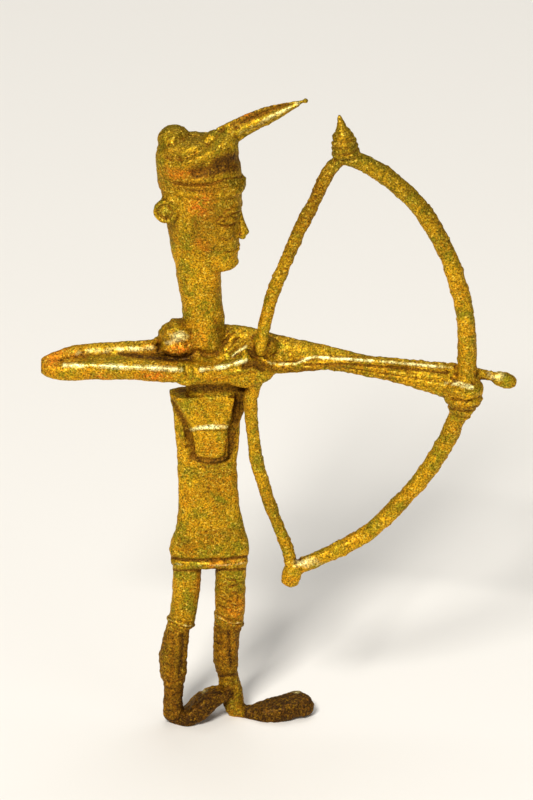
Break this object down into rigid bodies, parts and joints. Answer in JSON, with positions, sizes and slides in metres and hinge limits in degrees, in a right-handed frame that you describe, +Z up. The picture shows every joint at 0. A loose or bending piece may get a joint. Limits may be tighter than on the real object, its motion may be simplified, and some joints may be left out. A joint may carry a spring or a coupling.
{
  "type": "nuragic bronze figure",
  "caption": "Small cast bronze archer with long neck, folded cap and plume, standing with his bow drawn.",
  "frame": {"origin": "middle of the bounding box's bottom, on the floor the soles stand on", "axes": "+Z up, -Y the way the chest faces, +X the way the head, feet and arrow point"},
  "size_m": [0.1432, 0.0236, 0.2069],
  "materials": {
    "bronze": "aged, pitted cast bronze with a golden olive-brown patina"
  },
  "bodies": {
    "root": {"archer_figure": "bronze"}
  },
  "joints": []
}
